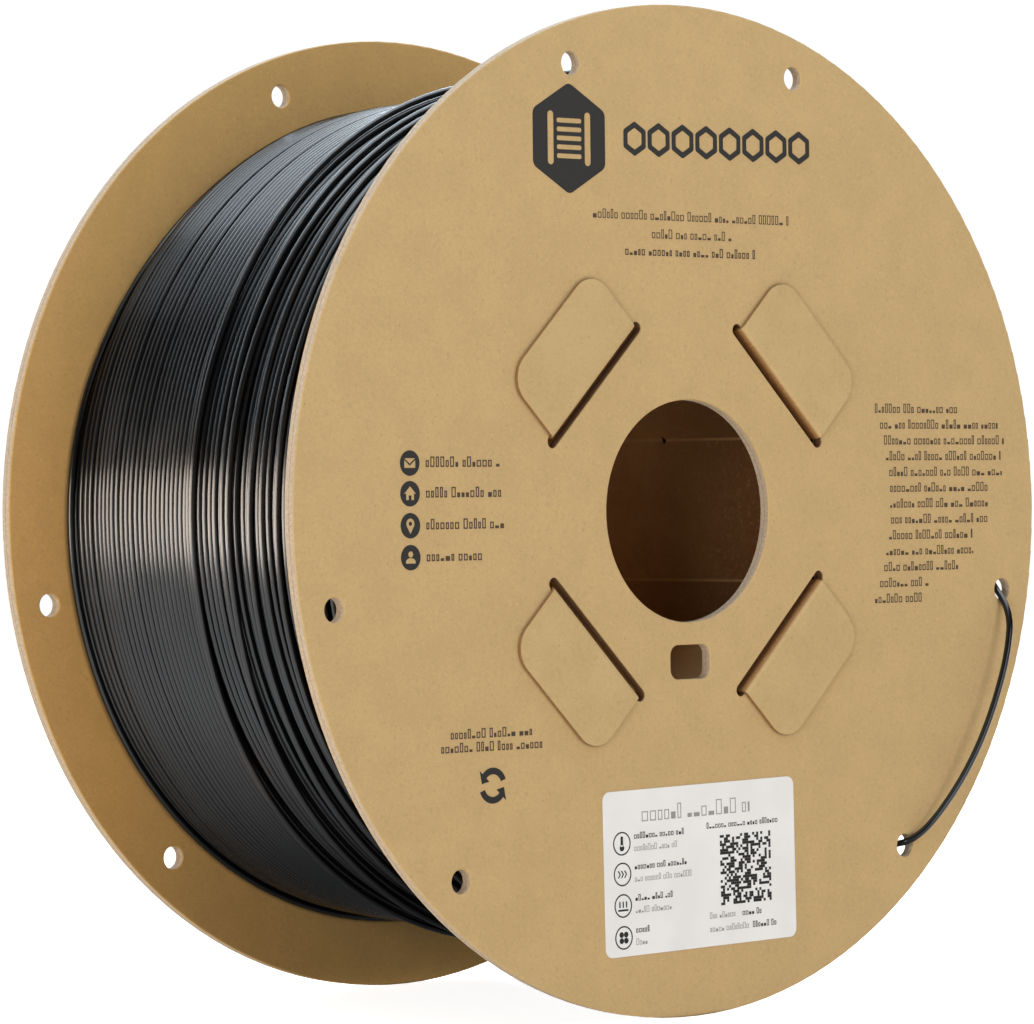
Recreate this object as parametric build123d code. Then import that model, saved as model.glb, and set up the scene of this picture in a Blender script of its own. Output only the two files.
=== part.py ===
from build123d import *
import math
import os

# A 3 kg cardboard filament spool. Millimetres, +Z up, spool axis along Y, origin at the centre
# of the bore half way between the flanges. The printed and labelled flange faces -Y.

# Driving dimensions: the spool as a whole
FLANGE_D = 250.0            # outer diameter of both flanges
SPOOL_W = 116.0             # over the outer faces of the two flanges
BORE_D = 55.0               # hole for the spool holder, in both flanges

# Flange board: two grey-board plies between two kraft liners
LINER_T = 0.35
PLY_T = 1.25
EDGE_R = 0.4                # softly crushed edge of the rim and of the punched holes

# Rim holes for parking the filament's end: three pairs
RIM_HOLE_D = 5.8
RIM_HOLE_CIRCLE_D = 230.2
RIM_PAIR_HALF_ANGLE = 19.1  # degrees from the middle of a pair to each of its holes
RIM_PAIR_ANGLES = (90, 210, 330)

# Drive hole under the bore
DRIVE_W = 13.3
DRIVE_H = 8.5
DRIVE_CORNER_R = 2.6
DRIVE_DROP = 37.3           # below the bore's axis

# Core: one creased strip of board, closed to an eight-sided tube by a glued lap
CORE_T = 0.8
CORE_APOTHEM = 45.2         # from the axis to the outside of each panel
LAP_W = 14.0
LAP_END_GAP = 1.0           # the lap stops this far short of both flanges
GLUE_T = 0.1
SEAM_GAP = 0.2

# Tabs on four of the panels, through slots in the flanges and folded outwards
TAB_ANGLES = (45, 135, 225, 315)
TAB_W = 38.4
TAB_REACH = 65.0            # from the axis to a tab's outer end
TAB_CORNER_R = 7.0
FOLD_R = 0.8                # inside radius of the fold
SLOT_RADIUS = 43.9          # from the axis to the slot's middle line
SLOT_L = 42.5
SLOT_W = 3.2
FOLD_GAP = 0.1              # between the fold and the crushed edge of the slot

# Filament
FILAMENT_D = 1.75
WINDING_D = 212.8
WINDING_GAP = 0.2           # winding to flange
ANCHOR_D = 2.2              # hole in a crease that the filament's start is hooked through
ANCHOR_ANGLE = 22.5
ANCHOR_Y = -1.3
START_TAIL = 1.8            # how far the start stands out inside the core

# Label on the front flange
LABEL_W = 65.0
LABEL_H = 40.5
LABEL_T = 0.12
LABEL_CORNER_R = 2.2
LABEL_CENTRE = (2.7, -87.9)
LABEL_TILT = 0.9            # degrees, as stuck on by hand

# The filament's end: angle about the axis, radius and Y. It comes off the last turn behind the
# front flange, goes out through one rim hole, over the face and back in through the next hole.
END_ROUTE = (
    (41.0, 104.6, -53.0),
    (31.0, 106.3, -53.1),
    (21.0, 107.5, -53.2),
    (11.0, 107.9, -53.3),
    (2.5, 109.4, -53.3),
    (-4.2, 112.0, -53.0),
    (-9.2, 114.1, -52.6),
    (-13.65, 115.3, -61.9),
    (-19.5, 115.2, -63.7),
    (-25.5, 115.0, -64.1),
    (-31.0, 115.0, -64.2),
    (-36.5, 114.9, -63.9),
    (-41.5, 115.0, -62.8),
    (-46.1, 115.3, -61.0),
    (-49.2, 115.0, -57.3),
    (-49.5, 114.6, -50.0),
)

FLANGE_T = 2 * (LINER_T + PLY_T)
HALF_W = SPOOL_W / 2
INNER_Y = HALF_W - FLANGE_T             # inner face of a flange
CORE_INNER = CORE_APOTHEM - CORE_T
PANEL_HALF = CORE_INNER * math.tan(math.radians(22.5))


def plate(sketch, y_low, y_high):
    """A sketch drawn in X and Z, given its thickness from y_low to y_high."""
    return extrude(Plane.XZ.offset(-y_high) * sketch, amount=y_high - y_low)


def about_axis(angle, shape):
    """Turns a shape that points along +X by an angle about the spool's axis, towards +Z."""
    return Rot(0, -angle, 0) * shape


def octagon(apothem):
    return RegularPolygon(apothem, 8, major_radius=False, rotation=22.5)


def on_back(shape):
    return mirror(shape, about=Plane.XZ)


def flange_outline():
    outline = Circle(FLANGE_D / 2) - Circle(BORE_D / 2)
    for middle in RIM_PAIR_ANGLES:
        for side in (-1, 1):
            angle = middle + side * RIM_PAIR_HALF_ANGLE
            outline -= Rot(0, 0, angle) * Pos(RIM_HOLE_CIRCLE_D / 2, 0) * Circle(RIM_HOLE_D / 2)
    outline -= Pos(0, -DRIVE_DROP) * RectangleRounded(DRIVE_W, DRIVE_H, DRIVE_CORNER_R)
    return outline


def slots():
    """The four slots, as cutters through a flange at the front."""
    slot = Pos(SLOT_RADIUS, 0) * Rot(0, 0, 90) * SlotOverall(SLOT_L, SLOT_W)
    cutter = plate(slot, -HALF_W - 1, -INNER_Y + 1)
    return [about_axis(angle, cutter) for angle in TAB_ANGLES]


def fold_centre():
    """U and Y of the fold's axis on the front flange."""
    return CORE_APOTHEM + FOLD_R, -HALF_W - GLUE_T + FOLD_R


def crushed_edges():
    """Cutters that round the slots' outer edges where the folded tabs bear on them."""
    u, y = fold_centre()
    radius = FOLD_R - FOLD_GAP
    corner = Pos(u - radius / 2, y - radius / 2) * Rectangle(radius, radius) - Pos(u, y) * Circle(radius)
    cutter = extrude(corner, amount=TAB_W / 2 + 0.4, both=True)
    return [about_axis(angle, cutter) for angle in TAB_ANGLES]


def front_flange():
    board = plate(flange_outline(), -HALF_W, -INNER_Y)
    ends = board.faces().sort_by(Axis.Y)
    board = fillet(ends[0].edges() + ends[-1].edges(), EDGE_R)
    for cutter in slots() + crushed_edges():
        board -= cutter
    return board


def flange_layers(board):
    """Splits the front flange into its four layers, named from the outside in."""
    layers = {}
    y = -HALF_W
    for name, thickness in (
        ("outer_liner", LINER_T),
        ("outer_ply", PLY_T),
        ("inner_ply", PLY_T),
        ("inner_liner", LINER_T),
    ):
        slab = plate(Rectangle(FLANGE_D + 2, FLANGE_D + 2), y, y + thickness)
        layers[name] = board & slab
        y += thickness
    return layers


def tab():
    """One tab at the front, pointing along +X: up through the slot, folded and lying outwards."""
    u, y = fold_centre()
    outside = FOLD_R + CORE_T
    root = u - outside
    flat = u + 4.0
    with BuildSketch() as bend:
        with BuildLine():
            Line((root, -INNER_Y), (root, y))
            ThreePointArc(
                (root, y),
                (u - outside * math.sqrt(0.5), y - outside * math.sqrt(0.5)),
                (u, y - outside),
            )
            Line((u, y - outside), (flat, y - outside))
            Line((flat, y - outside), (flat, y - FOLD_R))
            Line((flat, y - FOLD_R), (u, y - FOLD_R))
            ThreePointArc(
                (u, y - FOLD_R),
                (u - FOLD_R * math.sqrt(0.5), y - FOLD_R * math.sqrt(0.5)),
                (u - FOLD_R, y),
            )
            Line((u - FOLD_R, y), (u - FOLD_R, -INNER_Y))
            Line((u - FOLD_R, -INNER_Y), (root, -INNER_Y))
        make_face()
    neck = extrude(bend.sketch, amount=TAB_W / 2, both=True)
    flap_l = TAB_REACH - flat
    flap = Rectangle(flap_l, TAB_W, align=(Align.MIN, Align.CENTER))
    outer_corners = flap.vertices().sort_by(Axis.X)[-2:]
    flap = fillet(outer_corners, TAB_CORNER_R)
    return neck + plate(Pos(flat, 0) * flap, y - outside, y - FOLD_R)


def core_strip():
    ring = octagon(CORE_APOTHEM) - octagon(CORE_INNER)
    seam = Pos(-CORE_APOTHEM, -PANEL_HALF) * Rectangle(2 * CORE_T - GLUE_T, SEAM_GAP)
    tube = plate(ring - seam, -INNER_Y, INNER_Y)
    lap_x = -CORE_INNER + GLUE_T
    lap_top = -PANEL_HALF + LAP_W
    lap = Pos(lap_x, lap_top) * Rectangle(CORE_T, LAP_W + 2 * CORE_T, align=(Align.MIN, Align.MAX))
    lap = lap & octagon(CORE_APOTHEM)
    strip = tube + plate(lap, -INNER_Y + LAP_END_GAP, INNER_Y - LAP_END_GAP)
    for angle in TAB_ANGLES:
        front = about_axis(angle, tab())
        strip += front
        strip += on_back(front)
    anchor = Pos(0, ANCHOR_Y, 0) * Rot(0, 90, 0) * Cylinder(ANCHOR_D / 2, 2 * CORE_APOTHEM + 20)
    inner_half = Pos(CORE_APOTHEM, ANCHOR_Y, 0) * Box(20, 10, 10)
    return strip - about_axis(ANCHOR_ANGLE, anchor & inner_half)


def core_lap_glue():
    length = LAP_W - SEAM_GAP - 0.6
    film = Pos(-CORE_INNER, -PANEL_HALF + LAP_W - 0.3) * Rectangle(
        GLUE_T, length, align=(Align.MIN, Align.MAX)
    )
    return plate(film, -INNER_Y + LAP_END_GAP + 1, INNER_Y - LAP_END_GAP - 1)


def front_tab_glue():
    """Four pads of glue between the front tabs and the liner."""
    inner = fold_centre()[0] + 2.0
    outer = TAB_REACH - 2.5
    pad = Pos((inner + outer) / 2, 0) * RectangleRounded(outer - inner, TAB_W - 5, 4.0)
    pad = plate(pad, -HALF_W - GLUE_T, -HALF_W)
    return Compound([about_axis(angle, pad) for angle in TAB_ANGLES])


def filament_winding():
    """The wound filament, as the closed shape that its turns fill."""
    ring = Circle(WINDING_D / 2) - octagon(CORE_APOTHEM + FOLD_GAP)
    return plate(ring, -INNER_Y + WINDING_GAP, INNER_Y - WINDING_GAP)


def filament_start():
    """The hooked start of the filament, from the innermost turn into the core's hollow."""
    inner_corner = CORE_INNER / math.cos(math.radians(22.5))
    outer_corner = (CORE_APOTHEM + FOLD_GAP) / math.cos(math.radians(22.5))
    low = inner_corner - START_TAIL
    high = outer_corner + FILAMENT_D / 2
    stub = Pos((low + high) / 2, ANCHOR_Y, 0) * Rot(0, 90, 0) * Cylinder(FILAMENT_D / 2, high - low)
    return about_axis(ANCHOR_ANGLE, stub)


def route_point(angle, radius, y):
    return Vector(radius * math.cos(math.radians(angle)), y, radius * math.sin(math.radians(angle)))


def bend_radii(points):
    """0.45 of the shorter run over the tangent of half the turn, for each inner point."""
    radii = []
    for before, at, after in zip(points, points[1:], points[2:]):
        turn = (at - before).get_angle(after - at)
        shorter = min((at - before).length, (after - at).length)
        radii.append(0.45 * shorter / math.tan(math.radians(turn / 2)))
    return radii


def filament_end():
    points = [route_point(*place) for place in END_ROUTE]
    radii = bend_radii(points)
    path = FilletPolyline(*points, radius=radii)
    tube = sweep(Plane(origin=path @ 0, z_dir=path % 0) * Circle(FILAMENT_D / 2), path=path)
    expected = math.pi * FILAMENT_D ** 2 / 4 * path.length
    print("filament end: length", round(path.length, 1), "radii", [round(r, 1) for r in radii])
    print("filament end: volume", round(tube.volume, 2), "section by length", round(expected, 2))
    return tube


def label_sticker():
    label = Pos(*LABEL_CENTRE) * Rot(0, 0, LABEL_TILT) * RectangleRounded(LABEL_W, LABEL_H, LABEL_CORNER_R)
    return plate(label, -HALF_W - LABEL_T, -HALF_W)


def build():
    nodes = {}
    for name, layer in flange_layers(front_flange()).items():
        nodes["front_" + name] = layer
        nodes["back_" + name] = on_back(layer)
    nodes["core_strip"] = core_strip()
    nodes["core_lap_glue"] = core_lap_glue()
    nodes["front_tab_glue"] = front_tab_glue()
    nodes["back_tab_glue"] = on_back(nodes["front_tab_glue"])
    nodes["filament_winding"] = filament_winding()
    nodes["filament_start"] = filament_start()
    nodes["filament_end"] = filament_end()
    nodes["label_sticker"] = label_sticker()
    return nodes


os.makedirs("parts", exist_ok=True)
for node, shape in build().items():
    export_step(shape, f"parts/{node}.step")
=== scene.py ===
"""Filament spool: materials, wound strand, print, label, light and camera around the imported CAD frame.

Everything is in metres in the CAD's own frame: the bore's axis is along Y, the printed flange faces -Y,
and Z is up. Sizes that come from the drawing are written in millimetres and multiplied by MM.
"""

import math
import random

import bpy
import numpy as np
from mathutils import Matrix, Vector


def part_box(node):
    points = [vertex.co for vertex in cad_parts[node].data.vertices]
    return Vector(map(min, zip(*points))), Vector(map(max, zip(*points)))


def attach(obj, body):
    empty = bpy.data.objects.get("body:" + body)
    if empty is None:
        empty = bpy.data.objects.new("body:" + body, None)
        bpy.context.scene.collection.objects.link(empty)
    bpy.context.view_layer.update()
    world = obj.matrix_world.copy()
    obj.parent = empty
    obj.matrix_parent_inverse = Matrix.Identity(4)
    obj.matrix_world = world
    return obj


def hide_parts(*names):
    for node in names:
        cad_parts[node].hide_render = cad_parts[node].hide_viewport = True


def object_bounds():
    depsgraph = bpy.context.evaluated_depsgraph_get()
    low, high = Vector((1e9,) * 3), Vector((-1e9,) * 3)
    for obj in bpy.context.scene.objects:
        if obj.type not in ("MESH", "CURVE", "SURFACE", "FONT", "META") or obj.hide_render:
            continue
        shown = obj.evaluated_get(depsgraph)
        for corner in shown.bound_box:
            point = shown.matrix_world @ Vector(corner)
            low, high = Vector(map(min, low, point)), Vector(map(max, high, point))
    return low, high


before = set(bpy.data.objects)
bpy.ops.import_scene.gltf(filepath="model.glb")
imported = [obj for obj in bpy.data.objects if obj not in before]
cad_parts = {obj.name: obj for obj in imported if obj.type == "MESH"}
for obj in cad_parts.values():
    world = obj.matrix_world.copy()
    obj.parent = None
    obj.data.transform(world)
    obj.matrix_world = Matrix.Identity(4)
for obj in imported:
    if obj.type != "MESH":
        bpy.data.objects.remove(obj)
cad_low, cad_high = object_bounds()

MM = 0.001

# ---------------------------------------------------------------- sizes, most of them as in part.py

STRAND_D = 1.75
FLANGE_FACE_Y = -58.0  # outer face of the printed flange
FLANGE_INNER_Y = 54.8  # inner faces at plus and minus this
LABEL_TILT = 0.9  # degrees
START_ANGLE = 22.5  # degrees, where the filament's start comes through the core
START_HIDDEN = 2.3  # how much further back in its crease than in CAD the start's tip is drawn
INK_T = 0.03  # thickness of the printed ink
INK_GAP = 0.008  # keeps the ink off the paper, so that the two surfaces don't fight

# The parked end's route, as in part.py: angle in degrees, radius and Y in millimetres.
END_ROUTE = (
    (41.0, 104.6, -53.0), (31.0, 106.3, -53.1), (21.0, 107.5, -53.2), (11.0, 107.9, -53.3),
    (2.5, 109.4, -53.3), (-4.2, 112.0, -53.0), (-9.2, 114.1, -52.6), (-13.65, 115.3, -61.9),
    (-19.5, 115.2, -63.7), (-25.5, 115.0, -64.1), (-31.0, 115.0, -64.2), (-36.5, 114.9, -63.9),
    (-41.5, 115.0, -62.8), (-46.1, 115.3, -61.0), (-49.2, 115.0, -57.3), (-49.5, 114.6, -50.0),
)


def polar(angle_deg, radius, y):
    """A point given by its angle from +X towards +Z, its distance from the axis and its Y, in metres."""
    a = math.radians(angle_deg)
    return Vector((radius * math.cos(a), y, radius * math.sin(a))) * MM


# ---------------------------------------------------------------- camera

CAMERA_AT = Vector((-794.9, -900.0, 4.27)) * MM
CAMERA_AZIMUTH = math.radians(41.246)
CAMERA_DIP = math.radians(0.200)
CAMERA_ROLL = math.radians(-0.648)
CAMERA_LENS = 162.95


def make_camera():
    """The photograph's camera: to the left of the printed flange, level with the bore."""
    az, dip, roll = CAMERA_AZIMUTH, CAMERA_DIP, CAMERA_ROLL
    forward = Vector((math.sin(az) * math.cos(dip), math.cos(az) * math.cos(dip), -math.sin(dip)))
    level_right = Vector((math.cos(az), -math.sin(az), 0.0))
    level_up = level_right.cross(forward)
    right = level_right * math.cos(roll) + level_up * math.sin(roll)
    up = level_up * math.cos(roll) - level_right * math.sin(roll)
    data = bpy.data.cameras.new("camera")
    data.lens = CAMERA_LENS
    data.sensor_width = 36.0
    data.clip_start, data.clip_end = 0.05, 50.0
    camera = bpy.data.objects.new("camera", data)
    camera.matrix_world = Matrix.Translation(CAMERA_AT) @ Matrix((right, up, -forward)).transposed().to_4x4()
    bpy.context.scene.collection.objects.link(camera)
    bpy.context.scene.camera = camera


# ---------------------------------------------------------------- materials


class Shader:
    """One material's node tree, with a Principled shader and short calls for the nodes that feed it."""

    def __init__(self, name, roughness=0.5, **sockets):
        self.material = bpy.data.materials.new(name)
        self.material.use_nodes = True
        self.tree = self.material.node_tree
        self.principled = self.tree.nodes["Principled BSDF"]
        self.principled.inputs["Roughness"].default_value = roughness
        for socket, value in sockets.items():
            self.principled.inputs[socket.replace("_", " ")].default_value = value
        coordinates = self.tree.nodes.new("ShaderNodeTexCoord")
        self.place, self.facing = coordinates.outputs["Object"], coordinates.outputs["Normal"]

    def link(self, source, target):
        self.tree.links.new(source, target)

    def scaled(self, x, y, z):
        """The object's own coordinates, stretched along its axes."""
        node = self.tree.nodes.new("ShaderNodeMapping")
        node.inputs["Scale"].default_value = (x, y, z)
        self.link(self.place, node.inputs["Vector"])
        return node.outputs["Vector"]

    def noise(self, size_mm, detail=2.0, rough=0.5, stretch=(1, 1, 1), distort=0.0):
        """Noise whose features are about size_mm across, from 0 to 1."""
        node = self.tree.nodes.new("ShaderNodeTexNoise")
        node.inputs["Scale"].default_value = 1.0 / (size_mm * MM)
        node.inputs["Detail"].default_value = detail
        node.inputs["Roughness"].default_value = rough
        node.inputs["Distortion"].default_value = distort
        self.link(self.scaled(*stretch), node.inputs["Vector"])
        return node.outputs["Fac"]

    def cells(self, size_mm, stretch=(1, 1, 1)):
        """Distance to the nearest of points scattered about size_mm apart, as a share of size_mm."""
        node = self.tree.nodes.new("ShaderNodeTexVoronoi")
        node.inputs["Scale"].default_value = 1.0 / (size_mm * MM)
        self.link(self.scaled(*stretch), node.inputs["Vector"])
        return node.outputs["Distance"]

    def part_of(self, vector, axis):
        node = self.tree.nodes.new("ShaderNodeSeparateXYZ")
        self.link(vector, node.inputs["Vector"])
        return node.outputs[axis]

    def size_of(self, vector, axis):
        """One component of a vector, without its sign."""
        return self.math("ABSOLUTE", self.part_of(vector, axis))

    def distance(self, *stretch):
        """Distance from the origin, with each axis stretched first."""
        node = self.tree.nodes.new("ShaderNodeVectorMath")
        node.operation = "LENGTH"
        self.link(self.scaled(*stretch), node.inputs[0])
        return node.outputs["Value"]

    def from_axis(self):
        return self.distance(1.0, 0.0, 1.0)

    def math(self, operation, a, b=0.0):
        node = self.tree.nodes.new("ShaderNodeMath")
        node.operation = operation
        for socket, value in zip(node.inputs, (a, b)):
            if isinstance(value, (int, float)):
                socket.default_value = value
            else:
                self.link(value, socket)
        return node.outputs["Value"]

    def ramp(self, source, low, high, to_low=0.0, to_high=1.0):
        """source from low to high, smoothed and carried to the range to_low to to_high."""
        node = self.tree.nodes.new("ShaderNodeMapRange")
        node.interpolation_type = "SMOOTHSTEP"
        for socket, value in zip(("From Min", "From Max", "To Min", "To Max"), (low, high, to_low, to_high)):
            node.inputs[socket].default_value = value
        self.link(source, node.inputs["Value"])
        return node.outputs["Result"]

    def blend(self, share, first, second, mode="MIX"):
        """Colour first where share is 0 and second where it is 1."""
        node = self.tree.nodes.new("ShaderNodeMix")
        node.data_type = "RGBA"
        node.blend_type = mode
        for index, value in ((0, share), (6, first), (7, second)):
            if isinstance(value, (int, float)):
                node.inputs[index].default_value = value
            elif isinstance(value, tuple):
                node.inputs[index].default_value = (*value, 1.0)
            else:
                self.link(value, node.inputs[index])
        return node.outputs[2]

    def painted_occlusion_shade(self, reach_mm, low, high):
        """A mask for painted shade: 1 in the open, down to 0 close beside anything that stands on the surface.
        """
        node = self.tree.nodes.new("ShaderNodeAmbientOcclusion")
        node.samples = 6
        node.inputs["Distance"].default_value = reach_mm * MM
        return self.ramp(node.outputs["AO"], low, high)

    def colour(self, source):
        self.link(source, self.principled.inputs["Base Color"])

    def roughness(self, source):
        self.link(source, self.principled.inputs["Roughness"])

    def bump(self, height, depth_mm, strength=1.0):
        node = self.tree.nodes.new("ShaderNodeBump")
        node.inputs["Strength"].default_value = strength
        node.inputs["Distance"].default_value = depth_mm * MM
        self.link(height, node.inputs["Height"])
        self.link(node.outputs["Normal"], self.principled.inputs["Normal"])


def srgb(r, g, b):
    """A linear colour from 8-bit sRGB values."""
    return tuple((v / 255 / 12.92) if v <= 10 else ((v / 255 + 0.055) / 1.055) ** 2.4 for v in (r, g, b))


def shade(colour, factor):
    """The colour made darker or lighter."""
    return tuple(min(1.0, v * factor) for v in colour)


def paper_fibres(s):
    """The fibre pattern of uncoated kraft board, which also roughens it and stands up from it a little."""
    fibres = s.noise(1.0, detail=4, rough=0.7, distort=1.2)
    s.roughness(s.ramp(fibres, 0.3, 0.7, 0.78, 0.92))
    s.bump(fibres, 0.035, 0.5)
    return fibres


def kraft_paper(name, base):
    """Uncoated brown kraft: cloudy, with fine fibres and stray flecks, and painted shade close beside raised
    parts.
    """
    s = Shader(name, roughness=0.85, Specular_IOR_Level=0.3)
    clouds = s.ramp(s.noise(9.0, detail=4), 0.3, 0.7)
    fibres = paper_fibres(s)
    dark_specks = s.cells(4.2)
    pale_specks = s.cells(6.0, stretch=(1.0, 1.0, 0.93))
    paper = s.blend(clouds, shade(base, 0.965), shade(base, 1.03))
    paper = s.blend(s.ramp(fibres, 0.28, 0.50, 0.85, 0.0), paper, shade(base, 0.84))
    paper = s.blend(s.ramp(fibres, 0.50, 0.74, 0.0, 0.8), paper, shade(base, 1.14))
    paper = s.blend(s.ramp(dark_specks, 0.03, 0.065, 0.5, 0.0), paper, shade(base, 0.42))
    paper = s.blend(s.ramp(pale_specks, 0.015, 0.05, 0.4, 0.0), paper, shade(base, 1.35))
    # Painted shade: the paper darkens close beside the tabs, the label and anything else raised on it.
    paper = s.blend(s.painted_occlusion_shade(1.1, 0.45, 0.95), shade(base, 0.55), paper)
    s.colour(paper)
    return s.material


def grey_board(name):
    """The plies' pressed pulp on cut edges: layered, a dark glue line between plies, and painted brown shade
    in the slots.
    """
    glue_line_y = 56.4
    slot_shade_from, slot_shade_to = (41.0, 42.5), (62.0, 66.0)  # distances from the axis over which the painted brown slot shade fades
    s = Shader(name, roughness=0.9, Specular_IOR_Level=0.15)
    layers = s.noise(0.35, detail=3, rough=0.6, stretch=(0.45, 1.0, 0.45))
    fibres = s.noise(0.8, detail=4, rough=0.7)
    pulp = s.blend(s.ramp(layers, 0.35, 0.65), srgb(186, 168, 147), srgb(208, 191, 169))
    pulp = s.blend(s.ramp(fibres, 0.35, 0.6, 0.35, 0.0), pulp, srgb(160, 138, 116))
    from_glue_line = s.math("ABSOLUTE", s.math("SUBTRACT", s.size_of(s.place, "Y"), glue_line_y * MM))
    pulp = s.blend(s.ramp(from_glue_line, 0.02 * MM, 0.16 * MM, 0.6, 0.0), pulp, srgb(132, 110, 88))
    past_bore = s.ramp(s.from_axis(), slot_shade_from[0] * MM, slot_shade_from[1] * MM)
    before_rim = s.ramp(s.from_axis(), slot_shade_to[0] * MM, slot_shade_to[1] * MM, 0.9, 0.0)
    # Painted shade: the cut edges turn brown between the bore and the rim, where the slots' walls lie in
    # shade.
    s.colour(s.blend(s.math("MULTIPLY", past_bore, before_rim), pulp, srgb(112, 76, 44)))
    s.bump(s.math("ADD", layers, fibres), 0.08, 0.6)
    return s.material


def painted_core_inside(s, clouds):
    """Colour inside the core: a redder tint standing for bounced light, painted shade darker near the printed
    end, painted light paler at the very bottom, and painted highlights on the creases.
    """
    around = s.math("ARCTAN2", s.part_of(s.place, "Z"), s.part_of(s.place, "X"))
    from_crease = s.math("ABSOLUTE", s.math("COSINE", s.math("MULTIPLY", around, 4.0)))
    # Painted light: a redder, warmer tone that stands for the light bounced inside the core.
    board = s.blend(clouds, srgb(204, 160, 108), srgb(216, 171, 116))
    # Painted shade: darker towards the printed end.
    board = s.blend(s.ramp(s.part_of(s.place, "Y"), -45 * MM, 35 * MM), srgb(112, 74, 42), board)
    # Painted light: paler at the very bottom.
    board = s.blend(s.ramp(s.part_of(s.place, "Z"), -33 * MM, -30 * MM), srgb(236, 196, 140), board)
    # Painted highlight: pale thin lines along the creases.
    return s.blend(s.ramp(from_crease, 0.01, 0.05, 0.42, 0.0), board, srgb(232, 190, 136))


def core_board(name):
    """The core strip's kraft board: pale on the tabs and brown on cut edges, with painted brown shade where it
    runs through the slots, and redder inside with painted light and shade.
    """
    s = Shader(name, roughness=0.85, Specular_IOR_Level=0.2)
    clouds = s.ramp(s.noise(9.0, detail=4), 0.3, 0.7)
    fibres = paper_fibres(s)
    specks = s.cells(6.0)
    tab = s.blend(clouds, srgb(192, 166, 120), srgb(198, 172, 126))
    from_middle = s.size_of(s.place, "Y")
    # Painted shade: brown where the strip runs through the slots and bends out to the tabs.
    tab = s.blend(s.ramp(from_middle, 57.3 * MM, 58.4 * MM), srgb(146, 102, 60), tab)
    board = s.blend(s.ramp(from_middle, 54.5 * MM, 55.5 * MM), painted_core_inside(s, clouds), tab)
    on_tab = s.ramp(from_middle, 54.0 * MM, 56.5 * MM)
    is_edge = s.math("MULTIPLY", s.ramp(s.size_of(s.facing, "Y"), 0.55, 0.9, 0.85, 0.0), on_tab)
    board = s.blend(is_edge, board, srgb(140, 98, 56))
    board = s.blend(s.ramp(fibres, 0.28, 0.50, 0.3, 0.0), board, srgb(210, 190, 160), mode="MULTIPLY")
    board = s.blend(s.ramp(fibres, 0.50, 0.74, 0.0, 0.22), board, srgb(222, 196, 152))
    s.colour(s.blend(s.ramp(specks, 0.02, 0.05, 0.25, 0.0), board, srgb(110, 80, 52)))
    return s.material


def dried_glue(name):
    """White glue gone clear and yellowish, with small ripples."""
    s = Shader(name, roughness=0.35, Specular_IOR_Level=0.5)
    ripple = s.noise(2.5, detail=2)
    s.colour(s.blend(s.ramp(ripple, 0.3, 0.7), srgb(196, 168, 118), srgb(214, 190, 146)))
    s.roughness(s.ramp(ripple, 0.3, 0.7, 0.25, 0.5))
    s.bump(ripple, 0.05)
    return s.material


def black_filament(name):
    """Glossy black plastic strand with faint drawn lines and soft patches of haze."""
    s = Shader(name, roughness=0.18, IOR=1.54)
    haze = s.noise(22.0, detail=3)
    drawn = s.noise(0.25, detail=2)
    s.colour(s.blend(s.ramp(haze, 0.35, 0.7), srgb(11, 12, 14), srgb(17, 18, 21)))
    s.roughness(s.math("ADD", s.ramp(haze, 0.3, 0.7, 0.15, 0.23), s.ramp(drawn, 0.3, 0.7, 0.0, 0.05)))
    s.bump(drawn, 0.006, 0.35)
    return s.material


def printing_ink(name, tone):
    """Matt dark ink that the paper's fibres break up slightly."""
    s = Shader(name, roughness=0.7, Specular_IOR_Level=0.3)
    fibres = s.noise(0.7, detail=4, rough=0.65)
    s.colour(s.blend(s.ramp(fibres, 0.5, 0.8, 0.0, 0.4), tone, shade(tone, 1.8)))
    s.roughness(s.ramp(fibres, 0.3, 0.7, 0.6, 0.8))
    s.bump(fibres, 0.01, 0.4)
    return s.material


def label_paper(name):
    """Smooth white coated paper with a trace of tooth and a little unevenness."""
    s = Shader(name, roughness=0.5, Specular_IOR_Level=0.4)
    tooth = s.noise(0.5, detail=3)
    s.colour(s.blend(s.ramp(s.noise(14.0, detail=2), 0.3, 0.7), srgb(232, 234, 238), srgb(238, 240, 244)))
    s.roughness(s.ramp(tooth, 0.3, 0.7, 0.42, 0.58))
    s.bump(tooth, 0.006, 0.3)
    return s.material


def paint_cad_nodes(looks):
    """Gives each shown CAD node the material of the first look whose key is in its name."""
    for name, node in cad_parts.items():
        material = next(look for key, look in looks if key in name)
        if not node.material_slots:
            node.data.materials.append(material)
        for slot in node.material_slots:
            slot.material = material


# ---------------------------------------------------------------- the parked end of the filament


def parked_end(material):
    """The filament's own end: out of the last turns, through one rim hole, and back in through the next."""
    data = bpy.data.curves.new("parked_end", "CURVE")
    data.dimensions = "3D"
    data.resolution_u = 12
    data.bevel_depth = STRAND_D / 2 * MM
    data.bevel_resolution = 5
    data.use_fill_caps = True
    spline = data.splines.new("NURBS")
    spline.points.add(len(END_ROUTE) - 1)
    for point, stop in zip(spline.points, END_ROUTE):
        point.co = (*polar(*stop), 1.0)
    spline.order_u = 3
    spline.use_endpoint_u = True
    data.materials.append(material)
    end = bpy.data.objects.new("parked_end", data)
    bpy.context.scene.collection.objects.link(end)
    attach(end, "root")
    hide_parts("filament_end")


# ---------------------------------------------------------------- the wound turns

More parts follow.
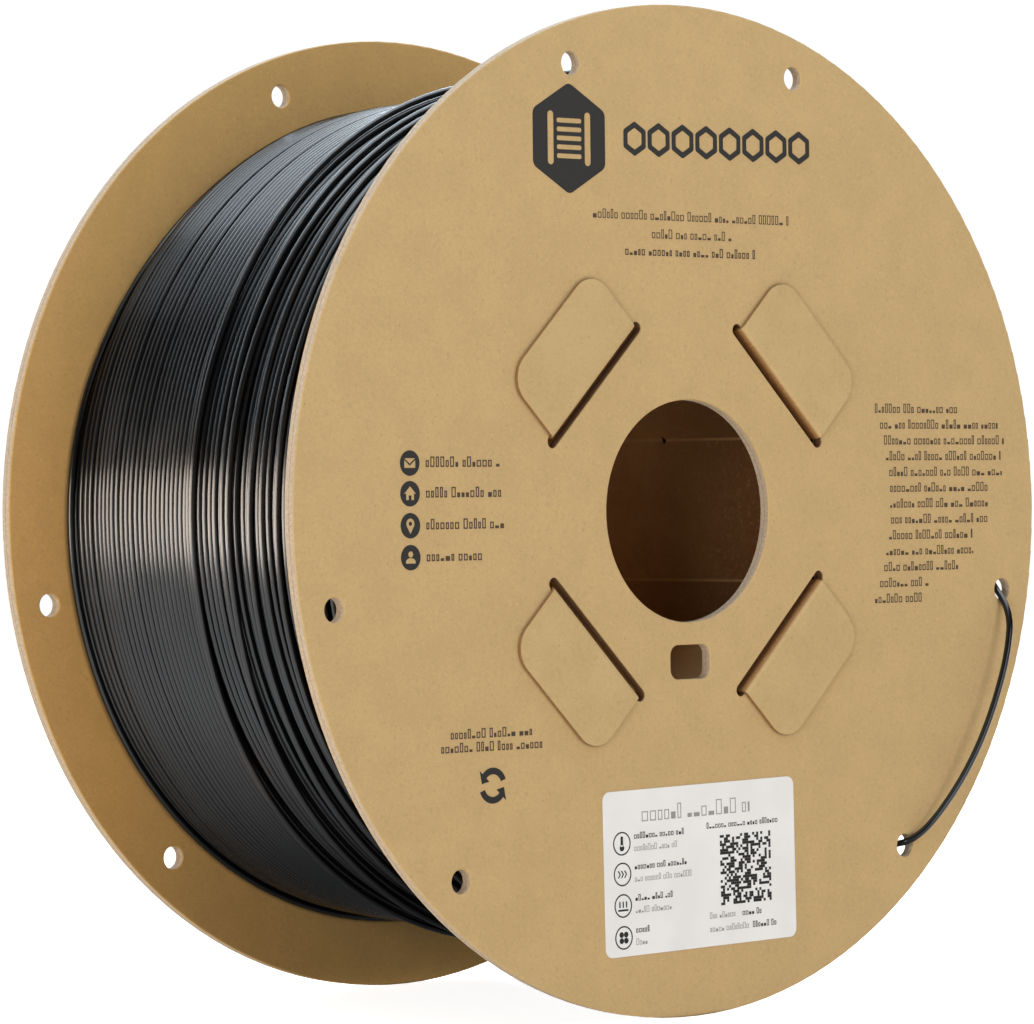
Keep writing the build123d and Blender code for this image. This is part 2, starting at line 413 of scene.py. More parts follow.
TURN_STEPS = 120  # cross-sections in one turn
STRAND_SIDES = 8
FIRST_Y = FLANGE_INNER_Y - 0.2 - STRAND_D / 2  # the first turn lies against the back flange
SEED = 27
WAVER = 0.105  # spread of the random draws that, once smoothed, make the strand's level waver
RIB_HALF_ANGLE = 56  # degrees of a packed turn's round that are modelled to each side of its top
PACKED_DEPTH = 9.0  # thickness of the ring of packed layers
LIFT_REACH, LIFT_EASE = 2, 3  # steps over which a crossed turn lifts the strand, and over which that eases
LAST_EASE = 20  # steps over which the strand's end sinks to the radius of the parked end's first point

# Levels along the spool, as (Y, radius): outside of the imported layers, and the strand's centre line on them.
DRUM_LEVELS = ((-54.0, 103.9), (7.0, 103.9), (36.0, 103.9), (47.0, 103.4), (54.0, 102.6))
STRAND_LEVELS = ((-54.0, 105.4), (2.0, 105.4), (6.0, 106.5), (36.0, 106.5), (54.0, 105.5))
UPPER_R = 106.9  # level of the last, loose layer where nothing lifts it further

# At the upper left the turns beside the back flange lie in a dip, given as (angle in degrees, depth).
DIP = ((95.0, 0.0), (106.0, 1.2), (116.0, 1.9), (150.0, 1.9), (172.0, 0.0))
DIP_FROM_Y, DIP_FULL_Y = 47.0, 53.0
FIRST_TURN_DIP = 1.6  # the first turn lies this many times deeper in it

# How far each neat turn lies from the one before it, from the back flange on: at the left, and at the top,
# where two wide steps leave the two dark gaps.
NEAT_LEFT_STEPS = (
    2.6, 2.3, 2.0, 2.5, 2.1, *3 * (1.78,), 2.1, 1.95, 1.95, 1.8, 2.2, 1.95, 1.9, *10 * (1.77,),
)
NEAT_TOP_STEPS = (
    1.77, 1.78, 2.5, *4 * (1.8,), 1.76, 1.76, 3.5, *4 * (1.77,), 3.4, 1.77, *9 * (1.765,),
)

# The loose turns, by where each lies at the left, seen from the printed side, and how far it drifts by its
# bottom and its top. First a wide-set layer towards the printed flange, then one back over it, then turns
# across both.
LOWER_TURNS = tuple((2.9 - 2.7 * turn, 0.6 * (-1) ** turn, -0.5 * (-1) ** (turn // 2)) for turn in range(21))
UPPER_TURNS = (
    (-51.6, 0.2, 0.1), (-48.0, 0.4, -0.6), (-44.1, -0.6, 0.5), (-40.2, 0.5, -0.4), (-36.0, -0.7, 0.6),
    (-32.5, 0.8, 0.4), (-29.0, 0.3, -0.5), (-26.1, -0.6, 1.0), (-22.3, 0.9, 0.8), (-18.5, -0.2, -0.6),
    (-16.6, -0.6, 0.4), (-13.4, 0.2, -0.2), (-11.4, 0.5, 0.4), (-8.0, 0.4, -0.5), (-5.5, -0.2, 0.2),
    (-3.4, 0.2, -0.2), (-1.3, 0.3, 0.2), (0.9, -0.3, 0.5), (4.2, 0.2, -0.4),
    (1.8, 3.6, -0.8), (-10.0, -1.6, 2.4), (-20.2, 1.6, -1.2), (-24.4, -2.1, 1.5), (-30.6, 1.8, -2.0),
    (-12.6, 1.9, -2.2), (-34.4, -2.2, 2.0), (-38.0, -1.4, 2.2), (-45.8, 1.9, -1.6), (-42.4, 1.2, -1.5),
)


def smooth(values, steps):
    """A moving average over a bell-shaped window, with both ends held."""
    window = np.hanning(2 * steps + 3)[1:-1]
    padded = np.pad(values, steps, mode="edge")
    return np.convolve(padded, window / window.sum(), mode="valid")


def highest_nearby(values, steps):
    padded = np.pad(values, steps, mode="edge")
    return np.max([padded[i:i + len(values)] for i in range(2 * steps + 1)], axis=0)


def strand_offsets(rng):
    """Y of the strand at each turn's right, bottom, left and top, turn by turn from the back flange on."""
    first_top = FIRST_Y - 1.78
    lefts = [FIRST_Y - sum(NEAT_LEFT_STEPS[:turn]) for turn in range(len(NEAT_LEFT_STEPS) + 1)]
    tops = [first_top - sum(NEAT_TOP_STEPS[:turn]) for turn in range(len(NEAT_TOP_STEPS) + 1)]
    quarters = [FIRST_Y] * 7
    for top, after in zip(tops, lefts[1:]):
        quarters.append(top)
        quarters += [top + (after - top) * share + rng.uniform(-0.02, 0.02) for share in (0.35, 0.7)]
        quarters.append(after)
    before = lefts[-1]
    quarters.append(tops[-1])
    for left, bottom_drift, top_drift in LOWER_TURNS + UPPER_TURNS:
        right = (before + left) / 2 + rng.uniform(-0.8, 0.8)
        quarters += [right, left + bottom_drift, left, left + top_drift]
        before = left
    return quarters + [-49.0, -52.0, -52.8, -53.0, -53.0]


def along_strand(quarters):
    """Y and angle, in radians, at every cross-section.

    The strand runs clockwise, seen from the printed side. It ends among the turns, as far below +X as the
    parked end begins above it.
    """
    turns = (len(quarters) - 1) / 4
    last = 2 * math.pi * turns - (2 * math.pi - math.radians(END_ROUTE[0][0]))
    run = np.append(np.arange(0.0, last, 2 * math.pi / TURN_STEPS), last)
    knots = np.arange(len(quarters)) * math.pi / 2
    offsets = smooth(np.interp(run, knots, quarters), TURN_STEPS // 9)
    return np.clip(offsets, -FIRST_Y, FIRST_Y), -run


def rest_on_earlier_turns(offsets, level):
    """Radius of the strand along its length: at its own level, or lifted over the turns that it crosses."""
    radii = np.array(level)
    turns = math.ceil(len(offsets) / TURN_STEPS)
    for turn in range(1, turns):
        now = slice(turn * TURN_STEPS, min((turn + 1) * TURN_STEPS, len(offsets)))
        count = now.stop - now.start
        lifted = np.array(radii[now])
        for other in range(turn):
            before = slice(other * TURN_STEPS, other * TURN_STEPS + count)
            gap = offsets[now] - offsets[before]
            over = radii[before] + np.sqrt(np.maximum(STRAND_D ** 2 - gap ** 2, 0.0))
            lifted = np.where(np.abs(gap) < STRAND_D * 0.985, np.maximum(lifted, over), lifted)
        lead = radii[now.start - 2 * LIFT_EASE:now.start]
        eased = smooth(highest_nearby(np.concatenate((lead, lifted)), LIFT_REACH), LIFT_EASE)
        radii[now] = eased[len(lead):]
    return radii


def sweep_strand(angles, radii, offsets):
    """Vertices and faces of a round strand, closed at its ends, through points of angle, radius and Y."""
    sides = np.arange(STRAND_SIDES) * 2 * math.pi / STRAND_SIDES
    out = radii[:, None] + STRAND_D / 2 * np.cos(sides)
    along = offsets[:, None] + STRAND_D / 2 * np.sin(sides)
    points = np.stack((out * np.cos(angles)[:, None], along, out * np.sin(angles)[:, None]), axis=-1)
    rings = np.arange(len(angles) * STRAND_SIDES).reshape(len(angles), STRAND_SIDES)
    turned = np.roll(rings, -1, axis=1)
    quads = np.stack((rings[:-1], rings[1:], turned[1:], turned[:-1]), axis=-1).reshape(-1, 4)
    faces = quads.tolist() + [rings[0].tolist(), rings[-1][::-1].tolist()]
    return points.reshape(-1, 3) * MM, faces


def from_table(value, table):
    places, values = np.array(table).T
    return np.interp(value, places, values)


def packed_layers():
    """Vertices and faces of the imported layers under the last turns: a ribbed ring, one rib for each turn."""
    pitch = STRAND_D + 0.03
    count = int((2 * FIRST_Y) // pitch) + 1
    profile = []
    for rib in range(count):
        centre = FIRST_Y - rib * pitch
        for side in (-1, 0, 1):
            a = math.radians(RIB_HALF_ANGLE * side)
            out = float(from_table(centre, DRUM_LEVELS)) - STRAND_D / 2 * (1 - math.cos(a))
            profile.append((out, centre - STRAND_D / 2 * math.sin(a)))
    inner_r = profile[-1][0] - PACKED_DEPTH
    profile = [(inner_r, profile[0][1])] + profile + [(inner_r, profile[-1][1])]
    angles = np.arange(TURN_STEPS) * 2 * math.pi / TURN_STEPS
    r, y = np.array(profile).T
    x, z = r * np.cos(angles)[:, None], r * np.sin(angles)[:, None]
    points = np.stack((x, np.broadcast_to(y, x.shape), z), axis=-1)
    rings = np.arange(x.size).reshape(x.shape)
    after = np.roll(rings, -1, axis=0)
    quads = np.stack((rings, np.roll(rings, -1, 1), np.roll(after, -1, 1), after), axis=-1)
    return points.reshape(-1, 3) * MM, quads.reshape(-1, 4).tolist()


def mesh_piece(name, vertices, faces, material):
    """A smooth mesh object that rides on the root body."""
    mesh = bpy.data.meshes.new(name)
    mesh.from_pydata([tuple(v) for v in vertices], [], faces)
    mesh.validate()
    mesh.materials.append(material)
    mesh.shade_smooth()
    piece = bpy.data.objects.new(name, mesh)
    bpy.context.scene.collection.objects.link(piece)
    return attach(piece, "root")


def strand_levels(rng, offsets, angles):
    """Radius of the strand where no other turn lifts it: its place's level, less the dip, slowly wavering."""
    steps = len(offsets)
    first_upper = int((len(NEAT_LEFT_STEPS) + len(LOWER_TURNS) + 2.2) * TURN_STEPS)
    waver = smooth(rng.normal(0.0, WAVER, steps), TURN_STEPS // 8)
    level = np.where(np.arange(steps) < first_upper, from_table(offsets, STRAND_LEVELS), UPPER_R)
    near_back = np.clip((offsets - DIP_FROM_Y) / (DIP_FULL_Y - DIP_FROM_Y), 0.0, 1.0)
    dip = from_table(np.degrees(angles) % 360, DIP) * near_back
    dip[:TURN_STEPS] *= FIRST_TURN_DIP
    level = smooth(level - dip + waver, TURN_STEPS // 20)
    sunk_start = np.linspace(2.0, 0.0, 9) ** 2 * 0.6
    level[:len(sunk_start)] -= sunk_start
    return level


def winding_turns(material):
    """The visible turns of the filament: neat ones from the back flange, then loose ones that cross."""
    rng = np.random.default_rng(SEED)
    offsets, angles = along_strand(strand_offsets(rng))
    radii = rest_on_earlier_turns(offsets, strand_levels(rng, offsets, angles))
    to_end = np.arange(len(offsets)) - (len(offsets) - LAST_EASE)
    ease = np.clip(to_end / (LAST_EASE - 1), 0, 1)
    radii = radii * (1 - ease) + END_ROUTE[0][1] * ease
    vertices, faces = sweep_strand(angles, radii, offsets)
    ribs, rib_faces = packed_layers()
    shift = len(vertices)
    faces += [[i + shift for i in face] for face in rib_faces]
    piece = mesh_piece("winding_turns", np.concatenate((vertices, ribs)), faces, material)
    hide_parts("filament_winding")


def winding_start(material):
    """The filament's hooked start, through a crease of the core. Only its rounded tip shows there."""
    low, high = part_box("filament_start")
    a, r = math.radians(START_ANGLE), STRAND_D / 2
    outer = (high.x / MM - r * math.sin(a)) / math.cos(a)
    tip = (low.x / MM + r * math.sin(a)) / math.cos(a) + START_HIDDEN
    y = (low.y + high.y) / 2 / MM
    nose = [(tip + back, share) for back, share in ((0, 0.3), (0.05, 0.6), (0.17, 0.85), (0.4, 1.0))]
    profile = nose + [(outer - 0.1, 1.0), (outer, 0.9)]
    sides = 16
    vertices = []
    for along, share in profile:
        for i in range(sides):
            b = 2 * math.pi * i / sides
            across, dy = r * share * math.cos(b), r * share * math.sin(b)
            x, z = along * math.cos(a) - across * math.sin(a), along * math.sin(a) + across * math.cos(a)
            vertices.append((x * MM, (y + dy) * MM, z * MM))
    faces = [tuple(range(sides)), tuple(reversed(range(sides * (len(profile) - 1), sides * len(profile))))]
    for ring in range(len(profile) - 1):
        here, there = ring * sides, (ring + 1) * sides
        for i in range(sides):
            j = (i + 1) % sides
            faces.append((here + j, here + i, there + i, there + j))
    piece = mesh_piece("winding_start", vertices, faces, material)
    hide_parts("filament_start")


# ---------------------------------------------------------------- print

# Every shape here is an outline: a list of (x, z) points in millimetres on the face, seen from the front.


def box_shape(x0, z0, x1, z1):
    return [(x0, z0), (x1, z0), (x1, z1), (x0, z1)]


def round_shape(x, z, radius, sides=40):
    turn = [2 * math.pi * i / sides for i in range(sides)]
    return [(x + radius * math.cos(a), z + radius * math.sin(a)) for a in turn]


def arc_points(x, z, radius, start, end, steps=14):
    """Points on a circle about (x, z) from angle start to end, in degrees."""
    turn = [math.radians(start + (end - start) * i / steps) for i in range(steps + 1)]
    return [(x + radius * math.cos(a), z + radius * math.sin(a)) for a in turn]


def soft_box(x, z, width, height, corner, steps=5):
    """A box about (x, z) with rounded corners."""
    points = []
    for quarter, (sx, sz) in enumerate(((1, 1), (-1, 1), (-1, -1), (1, -1))):
        cx, cz = x + sx * (width / 2 - corner), z + sz * (height / 2 - corner)
        for i in range(steps + 1):
            a = (quarter + i / steps) * math.pi / 2
            points.append((cx + corner * math.cos(a), cz + corner * math.sin(a)))
    return points


def soft_hexagon(x, z, radius, corner, steps=5):
    """A regular hexagon about (x, z), point up, with rounded corners."""
    points = []
    for k in range(6):
        middle = math.pi / 2 + k * math.pi / 3
        cx, cz = x + (radius - corner) * math.cos(middle), z + (radius - corner) * math.sin(middle)
        for i in range(steps + 1):
            a = middle + (i / steps - 0.5) * math.pi / 3
            points.append((cx + corner * math.cos(a), cz + corner * math.sin(a)))
    return points


def arc_arrow(x, z, inner, outer, start, end, head_deg=34):
    """A curved arrow about (x, z) from angle start to end in degrees, with its head past the end."""
    middle, reach = (inner + outer) / 2, (outer - inner) * 1.25
    last, tip = math.radians(end), math.radians(end + head_deg)
    head = [
        (x + radius * math.cos(a), z + radius * math.sin(a))
        for radius, a in ((middle + reach, last), (middle, tip), (middle - reach, last))
    ]
    return arc_points(x, z, outer, start, end) + head + arc_points(x, z, inner, start, end)[::-1]


def word_blocks(rng, x0, x1, z, height, weight=1.0):
    """A line that stands for words: hollow blocks and low solid ones, in groups, from x0 to x1 about z."""
    hollow_share, word_length = 0.72, (3, 8)
    shapes, x, left_in_word = [], x0, rng.randint(*word_length)
    low, stroke = z - height / 2, 0.16 * height * weight
    while x < x1 - 0.4:
        is_hollow = rng.random() < hollow_share
        width = min(height * rng.uniform(0.42, 0.72), x1 - x)
        top = low + height * (rng.choice((0.85, 0.85, 1.3)) if is_hollow else rng.choice((0.35, 0.6)))
        shapes.append(box_shape(x, low, x + width, top))
        if is_hollow and width > 2.6 * stroke:
            shapes.append(box_shape(x + stroke, low + stroke, x + width - stroke, top - stroke))
        x += width + height * 0.24
        left_in_word -= 1
        if not left_in_word:
            x += height * 0.5
            left_in_word = rng.randint(*word_length)
    return shapes


def word_lines(rng, lines, height, weight=1.0):
    """Several lines of word blocks, each given by (x0, x1, z)."""
    return [shape for x0, x1, z in lines for shape in word_blocks(rng, x0, x1, z, height, weight)]


def ink(name, shapes, material, slot, face_y, about=(0.0, 0.0), tilt_deg=0.0):
    """Ink on a face at face_y, turned by tilt_deg about a point. A shape inside another is a hole in it."""
    data = bpy.data.curves.new(name, "CURVE")
    data.dimensions = "2D"
    data.fill_mode = "BOTH"
    data.extrude = INK_T / 2 * MM
    for shape in shapes:
        spline = data.splines.new("POLY")
        spline.points.add(len(shape) - 1)
        for point, (x, z) in zip(spline.points, shape):
            point.co = (x * MM, z * MM, 0.0, 1.0)
        spline.use_cyclic_u = True
    drawn = bpy.data.objects.new(name + "_drawn", data)
    mesh = bpy.data.meshes.new_from_object(drawn)
    bpy.data.objects.remove(drawn)
    centre = Vector((about[0], about[1], 0.0)) * MM
    tilt = Matrix.Rotation(math.radians(tilt_deg), 4, "Z")
    turn = Matrix.Translation(centre) @ tilt @ Matrix.Translation(-centre)
    lift = Matrix.Translation((0.0, (face_y - INK_GAP - INK_T / 2) * MM, 0.0))
    mesh.transform(lift @ Matrix.Rotation(math.pi / 2, 4, "X") @ turn)
    mesh.materials.clear()
    mesh.materials.append(material)
    piece = bpy.data.objects.new(name, mesh)
    bpy.context.scene.collection.objects.link(piece)
    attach(piece, "root")


def emblem_shapes(x, z, radius):
    """A solid hexagon with a spool seen from the side left out of it: two flanges and the turns between."""
    flanges = [soft_box(x + side * 6.0, z, 1.9, 13.0, 0.9) for side in (-1, 1)]
    turns = [soft_box(x, z + (row - 2) * 2.15, 8.0, 1.15, 0.5) for row in range(5)]
    return [soft_hexagon(x, z, radius, 2.2)] + flanges + turns


def hexagon_chain(x0, x1, z, count, stroke):
    """A plain row of hexagon rings from x0 to x1."""
    pitch = (x1 - x0) / count
    radius = pitch / 2 * 1.03
    shapes = []
    for i in range(count):
        x = x0 + pitch * (i + 0.5)
        shapes += [soft_hexagon(x, z, radius, 0.8), soft_hexagon(x, z, radius - stroke, 0.5)]
    return shapes


def placed(x, z, outline):
    """An outline moved so that its own (0, 0) comes to (x, z)."""
    return [(x + dx, z + dz) for dx, dz in outline]


def envelope_sign(x, z):
    flap = ((-1.7, 1.15), (1.7, 1.15), (0.0, -0.15))
    body = ((-1.7, -1.15), (1.7, -1.15), (1.7, 0.75), (0.0, -0.6), (-1.7, 0.75))
    return [placed(x, z, flap), placed(x, z, body)]


def house_sign(x, z):
    """A house with a doorway."""
    outline = (
        (-1.2, -1.5), (-0.4, -1.5), (-0.4, -0.4), (0.4, -0.4), (0.4, -1.5), (1.2, -1.5),
        (1.2, 0.0), (1.8, 0.0), (0.0, 1.8), (-1.8, 0.0), (-1.2, 0.0),
    )
    return [placed(x, z, outline)]


def pin_sign(x, z):
    """A map pin with a round hole."""
    centre = z + 0.45
    return [[(x, z - 2.0)] + arc_points(x, centre, 1.25, -25, 205), round_shape(x, centre, 0.5, 16)]


def person_sign(x, z):
    """A head over rounded shoulders."""
    turn = [math.radians(180 * i / 12) for i in range(13)]
    shoulders = [(x - 1.5 * math.cos(a), z - 1.0 + 0.9 * math.sin(a)) for a in turn]
    return [round_shape(x, z + 0.75, 0.75, 20), [(x - 1.5, z - 1.4)] + shoulders + [(x + 1.5, z - 1.4)]]


def contact_shapes(x, places, radius):
    """Solid discs with a generic sign left out of each."""
    shapes = [round_shape(x, z, radius) for z in places]
    for sign, z in zip((envelope_sign, house_sign, pin_sign, person_sign), places):
        shapes += sign(x, z)
    return shapes


def side_list_lines():
    """The list of short lines at the right edge, which follows the edge's curve."""
    top, pitch = 25.4, 4.07
    starts = (65.9, 67.7, 69.1, 69.8, 70.9, 71.2, 71.1, 71.4, 70.6, 69.5, 68.7, 67.1, 65.2)
    ends = (96.4, 111.8, 114.1, 112.8, 113.2, 108.4, 108.0, 107.9, 101.7, 102.0, 96.2, 85.1, 83.1)
    return [(x0, x1, top - pitch * row) for row, (x0, x1) in enumerate(zip(starts, ends))]


def flange_print(solid_ink, line_ink):
    """What is printed on the front flange, with plain shapes where the photograph has a name or words."""
    rng = random.Random(11)
    slot, face = "printed_kraft_liner", FLANGE_FACE_Y
    contact_x, contact_places = -89.9, (12.2, 5.0, -2.5, -10.0)
    ink("print_emblem", emblem_shapes(-38.5, 90.5, 13.2), solid_ink, slot, face)
    ink("print_chain", hexagon_chain(-21.0, 43.5, 91.3, 8, 1.55), solid_ink, slot, face)

    lines = word_lines(rng, ((-31.0, 35.5, 72.5), (-11.5, 15.5, 68.0)), 1.75, 0.8)
    lines += word_lines(rng, ((-20.5, 24.0, 63.7), (-78.2, -52.2, -52.3), (-81.2, -49.0, -55.5)), 1.75)
    lines += word_lines(rng, side_list_lines(), 1.8, 0.9)
    contact_lines = [(-85.0, x1, z) for x1, z in zip((-62.0, -60.8, -60.8, -67.3), contact_places)]
    lines += word_lines(rng, contact_lines, 1.9)
    ink("print_lines", lines, line_ink, slot, face)
    ink("print_contacts", contact_shapes(contact_x, contact_places, 3.0), solid_ink, slot, face)
    arrows = [arc_arrow(-65.2, -64.7, 2.7, 4.3, start, start + 118) for start in (20, 200)]
    ink("print_arrows", arrows, solid_ink, slot, face)


def label_icons(x, places):
    """Four rings with a thermometer, moving air, a warm plate and a fan."""
    shapes = []
    for z in places:
        shapes += [round_shape(x, z, 2.9), round_shape(x, z, 2.55)]
    warmth, air, plate, fan = places
    shapes += [soft_box(x, warmth + 0.5, 0.8, 2.6, 0.4), round_shape(x, warmth - 1.1, 0.75, 20)]
    for step in range(3):
        left = x - 1.6 + step * 1.05
        chevron = ((0.0, 0.9), (0.4, 0.9), (1.0, 0.0), (0.4, -0.9), (0.0, -0.9), (0.6, 0.0))
        shapes.append(placed(left, air, chevron))
    shapes.append(soft_box(x, plate - 1.1, 3.4, 0.45, 0.2))
    shapes += [soft_box(x + 1.1 * side, plate + 0.3, 0.4, 1.6, 0.2) for side in (-1, 0, 1)]
    for blade in range(4):
        a = math.radians(45 + 90 * blade)
        shapes.append(round_shape(x + 1.05 * math.cos(a), fan + 1.05 * math.sin(a), 0.72, 16))
    return shapes


def block_pattern(rng, x0, z0, side, count):
    """Random square blocks from corner (x0, z0) right and down. It holds no code."""
    shapes = []
    cell = side / count
    for row in range(count):
        filled = [rng.random() < 0.5 for _ in range(count)] + [False]
        begin = None
        for column, is_filled in enumerate(filled):
            if is_filled and begin is None:
                begin = column
            if not is_filled and begin is not None:
                z = z0 - row * cell
                shapes.append(box_shape(x0 + begin * cell, z - cell * 0.97, x0 + column * cell, z))
                begin = None
    return shapes


def label_print(dark, grey):
    """What is printed on the label, with blocks for words."""
    rng = random.Random(5)
    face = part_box("label_sticker")[0].y / MM
    on_label = {"slot": "label_paper", "face_y": face, "about": (2.7, -87.9), "tilt_deg": LABEL_TILT}
    icon_x, icon_places = -23.8, (-80.5, -88.0, -95.7, -103.5)
    beside_icon, line_lift = -19.7, 1.5
    ink("label_icons", label_icons(icon_x, icon_places), dark, **on_label)

    upper = [(beside_icon, x1, z + line_lift) for x1, z in zip((-2.5, -2.0, -7.3, -15.3), icon_places)]
    lines = word_lines(rng, ((4.8, 29.3, -78.3),), 1.15)
    lines += word_lines(rng, upper + [(16.5, 23.0, -100.7), (20.0, 28.7, -104.0)], 1.2)
    ink("label_lines", lines, dark, **on_label)

    lower = [(beside_icon, x1, z - line_lift) for x1, z in zip((-5.2, -0.3, -7.3, -14.8), icon_places)]
    pale = word_lines(rng, ((-17.0, 19.7, -74.1),), 2.9, 0.55)
    pale += word_lines(rng, lower, 1.2, 0.7)
    pale += word_lines(rng, ((5.3, 15.0, -100.7), (5.3, 18.5, -104.0)), 1.2, 0.8)
    ink("label_pale_lines", pale, grey, **on_label)
    ink("label_pattern", block_pattern(rng, 9.2, -80.8, 17.5, 25), dark, **on_label)


# ---------------------------------------------------------------- floor, light and world


def split_by_ray(tree, seen, lit, mirrored, target):
    """Shows target's surface as seen to the camera, as mirrored in reflections, and as lit to other light."""
    rays = tree.nodes.new("ShaderNodeLightPath")
    result = lit
    for ray, shader in (("Is Glossy Ray", mirrored), ("Is Camera Ray", seen)):
        mix = tree.nodes.new("ShaderNodeMixShader")
        tree.links.new(rays.outputs[ray], mix.inputs["Fac"])
        tree.links.new(result, mix.inputs[1])
        tree.links.new(shader, mix.inputs[2])
        result = mix.outputs["Shader"]
    tree.links.new(result, target)


def glow(tree, colour, strength):
    node = tree.nodes.new("ShaderNodeEmission")
    node.inputs["Color"].default_value = (*colour, 1.0)
    tree.links.new(strength, node.inputs["Strength"])
    return node.outputs["Emission"]


def background(tree, colour, strength):
    node = tree.nodes.new("ShaderNodeBackground")
    node.inputs["Color"].default_value = (*colour, 1.0)
    node.inputs["Strength"].default_value = strength
    return node.outputs["Background"]


def make_floor():
    """A plain white table. To the camera it looks almost as bright as the backdrop. To other light it glows
    warm, with painted shade under the spool where it lights little, and in reflections it glows with painted
    shade close beside the spool.
    """
    half, z = 12.0, cad_low.z
    corners = [(-half, -half, z), (half, -half, z), (half, half, z), (-half, half, z)]
    mesh = bpy.data.meshes.new("floor")
    mesh.from_pydata(corners, [], [(0, 1, 2, 3)])
    s = Shader("floor_white", roughness=0.6, Specular_IOR_Level=0.1)
    s.principled.inputs["Base Color"].default_value = (0.86, 0.86, 0.86, 1.0)
    s.principled.inputs["Emission Color"].default_value = (1.0, 1.0, 1.0, 1.0)
    seen_glow = s.ramp(s.distance(1.0, 1.0, 0.0), 0.35, 1.0, 0.86, 1.0)
    s.link(seen_glow, s.principled.inputs["Emission Strength"])
    output = s.tree.nodes["Material Output"].inputs["Surface"]
    # Painted light: the floor glows warm onto the spool, dimmed under the spool as painted shade.
    lit = glow(s.tree, (1.0, 0.92, 0.80), s.ramp(s.distance(0.8, 1.9, 0.0), 0.085, 0.125, 0.05, 1.0))
    # Painted reflection: the floor glows in what the turns mirror, dark close beside the spool as painted
    # shade.
    mirrored = glow(s.tree, (0.95, 0.98, 1.0), s.ramp(s.distance(1.0, 0.6, 0.0), 0.04, 0.20, 0.13, 1.4))
    split_by_ray(s.tree, s.principled.outputs["BSDF"], lit, mirrored, output)
    mesh.materials.append(s.material)
    floor = bpy.data.objects.new("floor", mesh)
    bpy.context.scene.collection.objects.link(floor)


def make_world():
    """White where the camera sees it, and a dim room for everything else."""
    world = bpy.data.worlds.new("studio")
    bpy.context.scene.world = world
    world.use_nodes = True
    tree = world.node_tree
    tree.nodes.remove(tree.nodes["Background"])
    seen = background(tree, (1.0, 1.0, 1.0), 1.05)
    lit = background(tree, (1.0, 0.66, 0.36), 0.08)
    mirrored = background(tree, (0.80, 0.92, 1.0), 0.035)
    split_by_ray(tree, seen, lit, mirrored, tree.nodes["World Output"].inputs["Surface"])


def soft_light(name, centre, aim, size, radiance, colour, on_paper=True, in_gloss=True):
    """A rectangular softbox at centre, facing the point aim, of a given brightness, unseen by the camera.

    It may give only diffuse light (in_gloss false), or show only as a reflection (on_paper false).
    """
    data = bpy.data.lights.new(name, "AREA")
    data.shape = "RECTANGLE"
    data.size, data.size_y = size
    data.energy = radiance * math.pi * size[0] * size[1]
    data.color = colour
    light = bpy.data.objects.new(name, data)
    light.location = centre
    towards = Vector(aim) - Vector(centre)
    light.rotation_euler = towards.to_track_quat("-Z", "Y").to_euler()
    light.visible_camera = False
    light.visible_diffuse = on_paper
    light.visible_glossy = in_gloss
    bpy.context.scene.collection.objects.link(light)


def warm_bounce(name, angle_deg, strength):
    """Diffuse light between the flanges, as their inner faces throw it on each other."""
    data = bpy.data.lights.new(name, "POINT")
    data.energy = strength
    data.color = (1.0, 0.50, 0.12)
    data.shadow_soft_size = 4 * MM
    light = bpy.data.objects.new(name, data)
    light.location = polar(angle_deg, 119.0, 0.0)
    light.visible_camera = False
    light.visible_glossy = False
    bpy.context.scene.collection.objects.link(light)


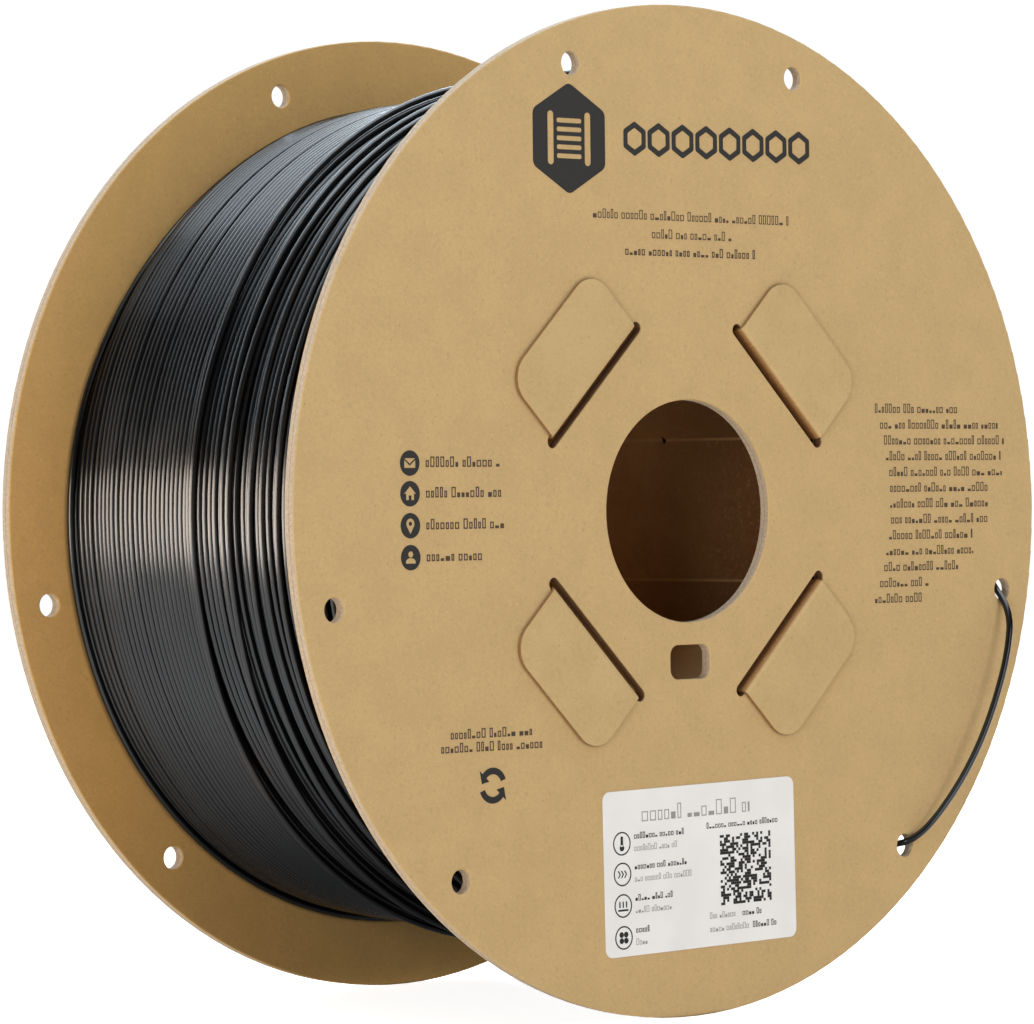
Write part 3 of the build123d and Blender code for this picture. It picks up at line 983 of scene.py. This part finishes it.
def make_lights():
    """A key in front, a left fill, softboxes above and behind, a strip that the turns mirror, and bounce."""
    white, cool, warm = (1.0, 0.995, 0.985), (0.82, 0.92, 1.0), (1.0, 0.87, 0.75)
    fill = (1.0, 0.97, 0.94)
    origin = (0.0, 0.0, 0.0)
    soft_light("key", (0.10, -1.93, 0.48), origin, (0.9, 0.8), 4.0, white)
    soft_light("left_fill", (-1.6, -0.50, 0.05), origin, (1.2, 1.0), 5.6, fill, in_gloss=False)

    over, just_below, under = (0.40, 0.40, 0.85), (0.40, 0.40, 0.83), (0.40, 0.40, 0.0)
    panel = (1.5, 2.0)
    soft_light("overhead", over, under, panel, 1.8, cool, in_gloss=False)
    soft_light("overhead_gloss", just_below, under, panel, 4.0, cool, on_paper=False)
    soft_light("overhead_edge", (-0.55, 0.40, 0.85), (-0.55, 0.40, 0.0), (0.4, 2.0), 0.9, cool)
    soft_light("left_sky", (-1.05, 0.55, 0.90), (-0.09, 0.0, 0.04), (0.5, 1.3), 1.3, cool, on_paper=False)

    behind, just_behind, top = (0.50, 1.45, 0.55), (0.50, 1.50, 0.57), (0.0, 0.0, 0.1)
    wide = (3.0, 0.8)
    soft_light("back_sweep", behind, top, wide, 5.6, cool, on_paper=False)
    soft_light("back_fill", just_behind, top, wide, 2.4, white, in_gloss=False)

    strip = (0.83, 0.12)
    soft_light("side_strip", (-0.36, 0.215, 0.0), (-0.083, 0.10, 0.0), strip, 10.5, warm, on_paper=False)
    warm_bounce("bounce_left", 178, 0.009)
    warm_bounce("bounce_low_left", 215, 0.009)


def make_bore_flag():
    """A black flag across the far bore, unseen by the camera: it keeps the back light out of the core."""
    steps, radius = 48, 27.0
    y = FLANGE_INNER_Y + 1.6
    ring = [polar(360 * i / steps, radius, y) for i in range(steps)]
    mesh = bpy.data.meshes.new("bore_flag")
    mesh.from_pydata([tuple(p) for p in ring], [], [tuple(range(steps))])
    s = Shader("flag_black", roughness=1.0, Specular_IOR_Level=0.0)
    s.principled.inputs["Base Color"].default_value = (0.0, 0.0, 0.0, 1.0)
    mesh.materials.append(s.material)
    flag = bpy.data.objects.new("bore_flag", mesh)
    flag.visible_camera = False
    bpy.context.scene.collection.objects.link(flag)


# ---------------------------------------------------------------- making


def main():
    make_camera()
    bpy.context.scene.view_settings.view_transform = "Standard"
    filament = black_filament("filament_black")
    parked_end(filament)
    winding_turns(filament)
    winding_start(filament)
    printed = kraft_paper("kraft_printed", srgb(195, 167, 120))
    plain = kraft_paper("kraft_plain", srgb(196, 159, 99))
    board = grey_board("board_grey")
    core = core_board("board_core")
    glue = dried_glue("glue_dried")
    paper = label_paper("paper_label")
    dark_ink = printing_ink("ink_dark", srgb(40, 39, 38))
    flange_print(dark_ink, printing_ink("ink_thin", srgb(74, 60, 47)))
    label_print(dark_ink, printing_ink("ink_grey", srgb(150, 149, 148)))
    paint_cad_nodes((
        ("front_outer_liner", printed), ("liner", plain), ("ply", board), ("core_strip", core),
        ("glue", glue), ("filament", filament), ("label", paper),
    ))
    make_floor()
    make_world()
    make_lights()
    make_bore_flag()


main()
